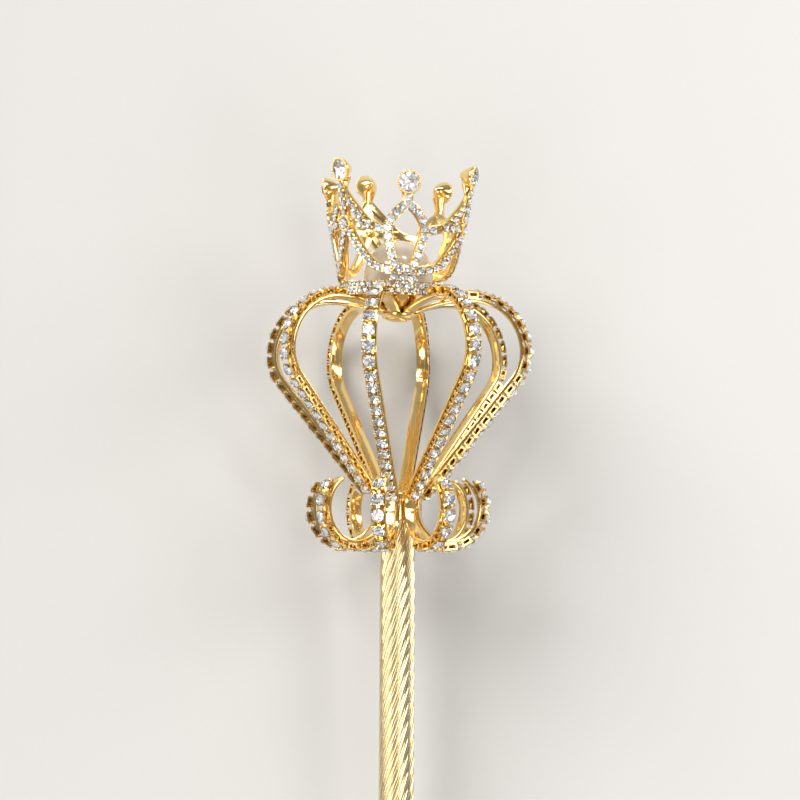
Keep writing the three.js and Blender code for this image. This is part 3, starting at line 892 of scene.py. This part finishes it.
def stone_places(row, pitch):
    """Places along a row, no further apart than a pitch, with the row's direction at each."""
    points = [on_crown(*place) for place in row]
    lengths = measured(points)
    count = math.ceil(lengths[-1] / pitch)
    places = []
    for n in range(count):
        i, part = stretch_at(lengths, lengths[-1] * (n + 0.5) / count)
        azimuth = row[i - 1][0] + (row[i][0] - row[i - 1][0]) * part
        height = row[i - 1][1] + (row[i][1] - row[i - 1][1]) * part
        matrix = crown_place(azimuth, height)
        ahead = matrix.to_3x3().transposed() @ (points[i] - points[i - 1])
        places.append((azimuth, height, math.atan2(ahead.y, ahead.x)))
    return places


def crown_settings():
    """Where the larger crystals stand: azimuth, height and whether it is one of the tips."""
    s = sizes()
    tips = zip(LOOP_TIPS + GABLE_TIPS, LOOP_TIP_HEIGHTS + GABLE_TIP_HEIGHTS)
    places = [(azimuth, height, True) for azimuth, height in tips]
    return places + [(azimuth, s.middle_stone, False) for azimuth in GABLE_TIPS]


def crown_stones(arms):
    """Places of the crown's small stones: a cluster at each loop's foot, then along the arms."""
    s = sizes()
    face = raised(s.crown_thickness / 2)
    taken = []
    for azimuth, height, is_tip in crown_settings():
        radius = s.tip_radius if is_tip else s.middle_radius
        taken.append((on_crown(azimuth, height), radius + s.pave_stone * 0.25))
    chosen = []
    for tip in LOOP_TIPS:
        middle = crown_place(tip, s.rosette_height) @ face
        chosen.append(middle)
        for i in range(6):
            aside = Matrix.Translation((s.pave_stone * 1.04, 0, 0))
            chosen.append(middle @ spun(math.tau * i / 6) @ aside)
        taken.append((on_crown(tip, s.rosette_height), s.rosette_radius + s.pave_stone * 0.42))
    for row in arms:
        for azimuth, height, turn in stone_places(row, s.pave_pitch / 10):
            spot = on_crown(azimuth, height)
            if all((spot - other).length > room for other, room in taken):
                chosen.append(crown_place(azimuth, height, turn) @ face)
                taken.append((spot, s.pave_pitch))
    return chosen


def pave_stone():
    """A small stone of the crown between two pairs of grain beads, standing on Z = 0."""
    s = sizes()
    radius = s.pave_stone / 2
    rings = [(0.6, 0.72 * radius, 6, 0), (1.0, 0.34 * radius, 8, 0), (0.3, 0.14 * radius, 6, 0)]
    parts = [cut_stone("pave_stone", radius, rings, 0.3 * radius)]
    bead_radius = 0.36 * MM
    for side in (-1, 1):
        for end in (-1, 1):
            spot = (end * radius * 0.92, side * radius * 0.72, 0.3 * MM)
            bpy.ops.mesh.primitive_ico_sphere_add(subdivisions=1, radius=bead_radius, location=spot)
            parts.append(dressed(settle(bpy.context.object), "gold"))
    return joined(parts, "pave_stone")


def setting(name, radius, depth, face, cut):
    """A larger crystal's setting: a domed back, a bezel with a beaded edge, and the crystal."""
    wall = 0.45 * MM
    seat = (radius - wall) * 0.78 * cut
    shares = [i / 12 for i in range(13)]
    profile = [(radius * part, -depth * (1 - part**1.6)) for part in shares]
    profile += [(radius, face - 0.1 * MM), (radius - 0.12 * MM, face + 0.1 * MM)]
    profile += [(radius - wall, face + 0.05 * MM), (radius - wall, face - 0.3 * MM)]
    profile += [(radius * 0.12, face - seat), (0, face - seat)]
    parts = [dressed(turned(name, profile, 48), "gold", 40)]
    bead_radius, bead_pitch = 0.44 * MM, 0.95 * MM
    beads = round(math.tau * radius / bead_pitch)
    bead_ring = radius - wall * 0.45
    bpy.ops.mesh.primitive_ico_sphere_add(subdivisions=2, radius=bead_radius)
    bead = dressed(settle(bpy.context.object), "gold", 60)
    for i in range(beads):
        turn = math.tau * i / beads
        spot = Vector((bead_ring * math.cos(turn), bead_ring * math.sin(turn), face + 0.12 * MM))
        parts.append(copy_of(bead, Matrix.Translation(spot)))
    discard(bead)
    stone = brilliant(radius - wall - 0.05 * MM, cut)
    stone.data.transform(raised(face + 0.1 * MM))
    parts.append(stone)
    return joined(parts, name)


def tip_neck(azimuth, height):
    """The neck that swells from a stem into the domed back of a tip's setting."""
    s = sizes()
    length = s.tip_radius
    deselect()
    ends = {"radius1": s.arm_width * 0.42, "radius2": s.tip_radius * 0.66}
    flat = (-math.pi / 2, 0, 0)
    bpy.ops.mesh.primitive_cone_add(vertices=24, depth=length, rotation=flat, **ends)
    neck = settle(bpy.context.object)
    flattening, sunk, rise = 0.5, 1.6 * MM, 1.3 * MM
    for vertex in neck.data.vertices:
        down = 0.5 - vertex.co.y / length
        vertex.co.z = vertex.co.z * flattening - sunk + rise * down
    neck.data.transform(Matrix.Translation((0, -s.tip_radius * 0.7 - length / 2, 0)))
    neck.data.transform(crown_place(azimuth, height))
    return neck


class SCEPTRE_OT_strips(bpy.types.Operator):
    """Bend the eight lantern strips and the eight scrolls from flat gilded metal"""

    bl_idname = "sceptre.strips"
    bl_label = "Strips and scrolls"

    def execute(self, context):
        strip = bent_strip("strip", strip_stretches(), 1.3 * MM)
        scroll = bent_strip("scroll", scroll_stretches(-math.pi), 1.2 * MM)
        for i, azimuth in enumerate(STRIP_AZIMUTHS, 1):
            for first, label, node in (strip, "lantern_strip", "strip"), (scroll, "lower_scroll", "scroll"):
                piece = copy_of(first, turned_to(azimuth))
                finish_piece(piece, f"{label}_{i}", [f"{node}_{i}"])
        discard(strip)
        discard(scroll)
        return {"FINISHED"}


class SCEPTRE_OT_chains(bpy.types.Operator):
    """Lay a chain of set stones along every strip and every scroll"""

    bl_idname = "sceptre.chains"
    bl_label = "Stone chains"

    def execute(self, context):
        s = sizes()
        cup, stone = chain_cup(), chain_stone()
        strip = Line(strip_stretches())
        scroll = Line(scroll_stretches(s.scroll_chain_start))
        scroll_cups = int(scroll.length // s.cup_pitch)
        scroll_places = [s.cup_pitch * (n + 0.5) for n in range(scroll_cups)]
        for i, azimuth in enumerate(STRIP_AZIMUTHS, 1):
            start = chain_start(strip, azimuth)
            cups = int((strip.length - s.chain_tail - start) // s.cup_pitch)
            places = [start + s.cup_pitch * (n + 0.5) for n in range(cups)]
            chains = {"strip": (strip, places, 1), "scroll": (scroll, scroll_places, -1)}
            for node, row in chains.items():
                chain = chain_on("chain", *row, cup, stone)
                stands_for = [f"{node}_chain_{i}"]
                finish_piece(chain, f"{node}_stones_{i}", stands_for, turned_to(azimuth))
        discard(cup)
        discard(stone)
        return {"FINISHED"}


class SCEPTRE_OT_crown(bpy.types.Operator):
    """Cast the crown's ring and arms and set them all over with small stones"""

    bl_idname = "sceptre.crown"
    bl_label = "Crown"

    def execute(self, context):
        s = sizes()
        half = s.crown_thickness / 2
        bevel = 0.3 * MM
        inner, outer, top = s.ring_radius - half, s.ring_radius + half, s.ring_height
        profile = [(inner, bevel), (inner + bevel, 0), (outer - bevel, 0), (outer, bevel)]
        profile += [(outer, top - bevel), (outer - bevel, top), (inner + bevel, top)]
        profile += [(inner, top - bevel), (inner, bevel)]
        ring = turned("ring", profile, 96)
        arms = crown_arms()
        bars = [ring] + [crown_bar(row, s.arm_width, s.crown_thickness) for row in arms]
        for tip in LOOP_TIPS:
            deselect()
            depth = s.crown_thickness + 0.1 * MM
            bpy.ops.mesh.primitive_cylinder_add(vertices=32, radius=s.rosette_radius, depth=depth)
            rosette = settle(bpy.context.object)
            apply_modifier(rosette, "BEVEL", width=bevel, segments=2, limit_method="ANGLE")
            rosette.data.transform(crown_place(tip, s.rosette_height))
            bars.append(rosette)
        for azimuth, height, is_tip in crown_settings():
            if is_tip:
                bars.append(tip_neck(azimuth, height))
        lattice = joined([dressed(bar, "gold") for bar in bars], "lattice")
        smooth(lattice, 35)
        stone = pave_stone()
        stones = [copy_of(stone, matrix) for matrix in crown_stones(arms)]
        around = round(math.tau * outer / (s.pave_pitch * 0.85))
        small = Matrix.Rotation(math.pi / 2, 4, "Y") @ Matrix.Scale(0.8, 4)
        for level, stagger in ((0.27, 0), (0.75, 0.5)):
            spot = Matrix.Translation((outer + 0.02 * MM, 0, s.ring_height * level))
            for i in range(around):
                stones.append(copy_of(stone, spun(math.tau * (i + stagger) / around) @ spot @ small))
        discard(stone)
        crown = joined([lattice, *stones], "crown")
        finish_piece(crown, "jewelled_crown", ["crown"], crown_matrix())
        return {"FINISHED"}


class SCEPTRE_OT_crystals(bpy.types.Operator):
    """Set the larger crystals on the crown's tips and between its loops"""

    bl_idname = "sceptre.crystals"
    bl_label = "Crown crystals"

    def execute(self, context):
        s = sizes()
        face = s.crown_thickness / 2
        large = setting("large", s.tip_radius, s.tip_depth, face, 1)
        small = setting("small", s.middle_radius, s.middle_depth, face + 0.7 * MM, 0.35)
        for i, (azimuth, height, is_tip) in enumerate(crown_settings(), 1):
            first = large if is_tip else small
            copy = copy_of(first, crown_matrix() @ crown_place(azimuth, height))
            finish_piece(copy, f"set_crystal_{i}", [f"crown_crystal_{i}"])
        discard(large)
        discard(small)
        return {"FINISHED"}


class SCEPTRE_OT_pearl(bpy.types.Operator):
    """Seat the pearl in its cup on the hub"""

    bl_idname = "sceptre.pearl"
    bl_label = "Pearl, cup and hub"

    def execute(self, context):
        s = sizes()
        radius = s.pearl_diameter / 2
        deselect()
        bpy.ops.mesh.primitive_uv_sphere_add(segments=64, ring_count=40, radius=radius)
        pearl = settle(bpy.context.object)
        out_of_round = 0.004
        for vertex in pearl.data.vertices:
            turn = math.atan2(vertex.co.y, vertex.co.x)
            swell = 1 - out_of_round * (1 + math.cos(2 * turn)) * (1 - (vertex.co.z / radius) ** 2)
            vertex.co = vertex.co * swell
        pearl.data.transform(raised(pearl_height()))
        finish_piece(dressed(pearl, "pearl", 60), "crown_pearl", ["pearl"])

        gap = 0.05 * MM
        inner = radius + gap
        outer = inner + s.pearl_cup_wall + 0.2 * MM
        rim = -28
        centre = (0, pearl_height())
        profile = arc(centre, outer, -90, rim, 20)
        profile += arc(centre, inner, rim, -90, 20)
        turned_gold("pearl_seat", profile, 64, "pearl_cup")

        top = hub_top()
        hub_radius = s.crest_radius - s.dip_bend * math.sin(s.dip_angle) - 0.5 * MM
        hub_height = 2.6 * MM
        bowl = [math.radians(angle) for angle in range(-90, 1, 10)]
        profile = [(hub_radius * math.cos(a), top + hub_height * math.sin(a)) for a in bowl]
        profile += [(0, top)]
        turned_gold("strip_hub", profile, 40, "hub")
        return {"FINISHED"}


class SCEPTRE_OT_shaft(bpy.types.Operator):
    """Draw and twist the reeded tube"""

    bl_idname = "sceptre.shaft"
    bl_label = "Shaft"

    def execute(self, context):
        s = sizes()
        per_reed = 12
        count = s.reed_count * per_reed
        deselect()
        bpy.ops.mesh.primitive_circle_add(vertices=count, radius=s.shaft_diameter / 2)
        shaft = bpy.context.object
        for vertex in shaft.data.vertices:
            turn = math.atan2(vertex.co.y, vertex.co.x) % math.tau
            part = (turn * s.reed_count / math.tau) % 1
            vertex.co = vertex.co.normalized() * (s.shaft_diameter / 2 - s.reed_depth * groove(part))
        steps = {"steps": 150, "render_steps": 150, "use_merge_vertices": False}
        twist = math.tau * s.shaft_length / s.reed_lead
        apply_modifier(shaft, "SCREW", angle=twist, screw_offset=s.shaft_length, **steps)
        shaft.data.transform(raised(s.shaft_top - s.shaft_length))
        editing(shaft)
        bpy.ops.mesh.select_all(action="SELECT")
        bpy.ops.mesh.region_to_loop()
        bpy.ops.mesh.edge_face_add()
        finish_piece(dressed(closed_up(), "pale gold", 50), "reeded_shaft", ["shaft"])
        return {"FINISHED"}


def groove(part):
    """How deep the section is across one reed: a wide round reed and a thin fillet beside it."""
    reed_share, fillet_share, fillet_height = 0.66, 0.34, 0.62
    if part < reed_share:
        return 1 - math.sin(math.pi * part / reed_share) ** 0.55
    return 1 - fillet_height * math.sin(math.pi * (part - reed_share) / fillet_share) ** 0.7


class SCEPTRE_OT_ends(bpy.types.Operator):
    """Turn the socket at the waist and the collar and ball of the pommel"""

    bl_idname = "sceptre.ends"
    bl_label = "Socket and pommel"

    def execute(self, context):
        s = sizes()
        spigot, spigot_length = 4.5 * MM, 2 * MM
        foot = s.shaft_top + 0.2 * MM
        radius = 6.2 * MM
        rounding = 1.5 * MM
        top = 5.5 * MM
        profile = [(0, foot - spigot_length), (spigot, foot - spigot_length)]
        profile += [(spigot, foot), (radius, foot), (radius, top)]
        profile += arc((radius - rounding, top), rounding, 0, 60, 5)[1:]
        profile += [(0, top + 2 * MM)]
        turned_gold("waist_socket", profile, 48, "socket")

        shaft_bottom = s.shaft_top - s.shaft_length
        top = shaft_bottom - 0.1 * MM
        ball = 9.8 * MM
        neck = 5.4 * MM
        collar = 7.8 * MM
        flat = 4 * MM
        collar_height = 5 * MM
        collar_foot = top - collar_height
        centre = collar_foot - 1.5 * MM - math.sqrt(ball**2 - neck**2)
        start = -math.degrees(math.acos(flat / ball))
        end = math.degrees(math.acos(neck / ball))
        profile = [(0, centre - math.sqrt(ball**2 - flat**2))]
        profile += arc((0, centre), ball, start, end, 28)
        lower_bead, upper_bead, fillet = 1.2 * MM, 1.0 * MM, 0.2 * MM
        profile += [(neck, collar_foot - fillet), (neck + 0.5 * MM, collar_foot)]
        profile += arc((collar - lower_bead, collar_foot + lower_bead), lower_bead, -90, 90, 8)
        profile += [(collar - lower_bead - fillet, collar_foot + 2.6 * MM)]
        profile += [(collar - lower_bead, collar_foot + 2.8 * MM)]
        profile += arc((collar - upper_bead, collar_foot + 3.9 * MM), upper_bead, -80, 90, 8)
        profile += [(collar - 1.1 * MM, top), (spigot, top)]
        profile += [(spigot, top + spigot_length), (0, top + spigot_length)]
        turned_gold("ball_pommel", profile, 64, "pommel")
        return {"FINISHED"}


class SCEPTRE_OT_stage(bpy.types.Operator):
    """Lay the pale floor, hang the soft lights and set the camera"""

    bl_idname = "sceptre.stage"
    bl_label = "Stage"

    def execute(self, context):
        deselect()
        bpy.ops.mesh.primitive_plane_add(size=6)
        floor = bpy.context.object
        floor.name = "floor"
        dressed(floor, "paper")
        self.lights()
        self.camera(context)
        return {"FINISHED"}

    def lamp(self, kind, name, direction, power, spot=(0, 0, 0)):
        """Adds a light at a spot that shines in a direction, and returns its data."""
        bpy.ops.object.light_add(type=kind, location=spot)
        light = bpy.context.object
        light.name = name
        light.rotation_euler = Vector(direction).to_track_quat("-Z", "Y").to_euler()
        light.data.energy = power
        return light.data

    def lights(self):
        """Softboxes round the head, a wide soft sun, and a sky that is brightest at the horizon."""
        aim = lying_matrix() @ Vector((0, 0, 40 * MM))
        boxes = (
            ("right_softbox", (0.8, 0.35, 0.6), 0.35, 0.9, 10),
            ("top_softbox", (0.05, 0.95, 0.8), 0.6, 0.25, 7.5),
            ("near_left_softbox", (-0.6, -0.55, 0.85), 0.4, 0.4, 6),
            ("near_right_softbox", (0.55, -0.65, 0.8), 0.4, 0.4, 5),
            ("camera_softbox", (0.15, -0.25, 1.2), 0.3, 0.3, 3),
        )
        for name, spot, width, height, power in boxes:
            box = self.lamp("AREA", name, -Vector(spot), power, aim + Vector(spot))
            box.shape = "RECTANGLE"
            box.size, box.size_y = width, height
        key_direction, key_power = (0.62, -0.52, -0.59), 6.5
        key = self.lamp("SUN", "key_light", key_direction, key_power)
        key.angle = math.radians(35)
        view = bpy.context.scene.view_settings
        view.view_transform = "Standard"
        view.look = "None"
        view.exposure = -1
        world = bpy.data.worlds.new("studio")
        bpy.context.scene.world = world
        world.use_nodes = True
        tree = world.node_tree
        place = add_node(tree, "ShaderNodeTexCoord")
        split = add_node(tree, "ShaderNodeSeparateXYZ", links={"Vector": (place, "Generated")})
        horizon, zenith = 0.9, 0.34
        strength = {"From Min": 0.0, "From Max": 1.0, "To Min": horizon, "To Max": zenith}
        fade = add_node(tree, "ShaderNodeMapRange", strength, {"Value": (split, "Z")})
        background = tree.nodes["Background"]
        background.inputs["Color"].default_value = rgba(linear("#F4F2F1"))
        tree.links.new(fade.outputs[0], background.inputs["Strength"])

    def camera(self, context):
        """The photograph's camera, given as it stands to the upright sceptre."""
        focal_pixels = 2300
        pixels_per_metre = 2930
        sensor = 36
        low = math.radians(-4.25)
        round_left = math.radians(-0.8)
        roll = math.radians(0.255)
        aim_height = 38.2 * MM
        aim_pixel = 398
        distance = focal_pixels / pixels_per_metre
        level = math.cos(low)
        back = Vector((math.sin(round_left) * level, -math.cos(round_left) * level, math.sin(low)))
        right = Vector((math.cos(round_left), math.sin(round_left), 0))
        aside = right * (FRONT_IMAGE_SIZE / 2 - aim_pixel) / pixels_per_metre
        spot = Vector((0, 0, aim_height)) + aside + back * distance
        matrix = axes(right, back.cross(right), back, spot)
        data = bpy.data.cameras.new("photograph")
        data.sensor_width = sensor
        data.lens = focal_pixels / FRONT_IMAGE_SIZE * sensor
        data.clip_start = 0.01
        camera = bpy.data.objects.new("photograph", data)
        context.scene.collection.objects.link(camera)
        camera.matrix_world = lying_matrix() @ matrix @ spun(roll)
        context.scene.camera = camera


OPERATORS = (
    SCEPTRE_OT_strips,
    SCEPTRE_OT_chains,
    SCEPTRE_OT_crown,
    SCEPTRE_OT_crystals,
    SCEPTRE_OT_pearl,
    SCEPTRE_OT_shaft,
    SCEPTRE_OT_ends,
    SCEPTRE_OT_stage,
)


class SCEPTRE_PT_panel(bpy.types.Panel):
    """Lists the sceptre's pieces and sizes"""

    bl_idname = "SCEPTRE_PT_panel"
    bl_label = "Sceptre"
    bl_space_type = "VIEW_3D"
    bl_region_type = "UI"
    bl_category = "Sceptre"

    def draw(self, context):
        for operator in OPERATORS:
            self.layout.operator(operator.bl_idname)
        for group in (context.scene.sceptre_sizes, context.scene.sceptre_colours):
            column = self.layout.column()
            for name in group.bl_rna.properties.keys():
                if name not in ("rna_type", "name"):
                    column.prop(group, name)


CLASSES = (SceptreSizes, SceptreColours, *OPERATORS, SCEPTRE_PT_panel)


def register():
    for each in CLASSES:
        bpy.utils.register_class(each)
    bpy.types.Scene.sceptre_sizes = PointerProperty(type=SceptreSizes)
    bpy.types.Scene.sceptre_colours = PointerProperty(type=SceptreColours)


def unregister():
    del bpy.types.Scene.sceptre_colours
    del bpy.types.Scene.sceptre_sizes
    for each in reversed(CLASSES):
        bpy.utils.unregister_class(each)


def main():
    register()
    bpy.ops.sceptre.strips()
    bpy.ops.sceptre.chains()
    bpy.ops.sceptre.crown()
    bpy.ops.sceptre.crystals()
    bpy.ops.sceptre.pearl()
    bpy.ops.sceptre.shaft()
    bpy.ops.sceptre.ends()
    bpy.ops.sceptre.stage()
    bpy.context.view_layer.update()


if __name__ == "__main__":
    main()
